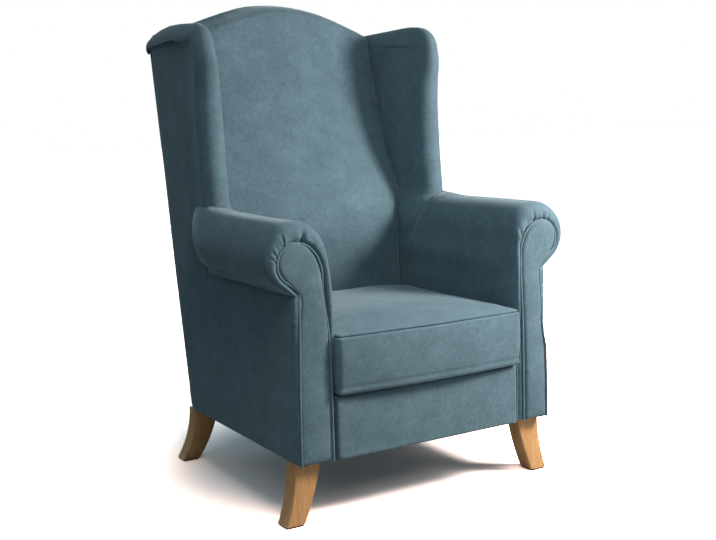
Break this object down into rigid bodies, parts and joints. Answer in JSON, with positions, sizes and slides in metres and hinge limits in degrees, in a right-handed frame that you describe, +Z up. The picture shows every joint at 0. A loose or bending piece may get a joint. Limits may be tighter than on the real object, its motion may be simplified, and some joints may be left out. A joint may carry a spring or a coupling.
{
  "type": "fireside chair",
  "caption": "Upholstered wing armchair with an arched high back, scroll arms, boxed seat cushion and splayed wooden legs.",
  "frame": {"origin": "on the floor, under the middle of the chair's overall width and depth", "axes": "+Z up; -Y the way the sitter faces; +X to the right as seen from the front"},
  "size_m": [0.78, 0.824, 1.16],
  "materials": {
    "velvet": "matte",
    "piping": "matte",
    "beech": "satin",
    "timber": "matte",
    "spring_steel": "satin",
    "zinc_steel": "satin",
    "deck_cloth": "matte",
    "webbing": "matte",
    "dust_cloth": "matte",
    "foam": "matte",
    "zip": "matte",
    "glide": "matte"
  },
  "bodies": {
    "frame": {"front_rail": "timber", "rear_rail": "timber", "left_side_rail": "timber", "right_side_rail": "timber", "corner_blocks": "timber", "left_front_post": "timber", "right_front_post": "timber", "left_back_post": "timber", "right_back_post": "timber", "back_top_rail": "timber", "back_cross_rail": "timber", "left_arm_rail": "timber", "right_arm_rail": "timber", "left_wing_board": "timber", "right_wing_board": "timber", "seat_springs": "spring_steel", "spring_clips": "spring_steel", "seat_deck": "deck_cloth", "back_webbing": "webbing", "dust_cover": "dust_cloth", "left_arm_pad": "velvet", "right_arm_pad": "velvet", "left_arm_facing": "velvet", "right_arm_facing": "velvet", "left_facing_piping": "piping", "right_facing_piping": "piping", "left_wing_pad": "velvet", "right_wing_pad": "velvet", "left_side_panel": "velvet", "right_side_panel": "velvet", "back_pad": "velvet", "outside_back_panel": "velvet", "front_rail_cover": "velvet", "front_left_leg": "beech", "front_right_leg": "beech", "rear_left_leg": "beech", "rear_right_leg": "beech", "leg_bolts": "zinc_steel", "leg_inserts": "zinc_steel", "leg_glides": "glide"},
    "seat_cushion": {"cushion_top_panel": "velvet", "cushion_border": "velvet", "cushion_bottom_panel": "velvet", "cushion_foam": "foam", "cushion_zip": "zip"}
  },
  "joints": [
    {"name": "cushion_lift", "type": "slide", "parent": "frame", "child": "seat_cushion", "axis": [0, -0.5, 0.866], "range_m": [0, 0.45]}
  ]
}
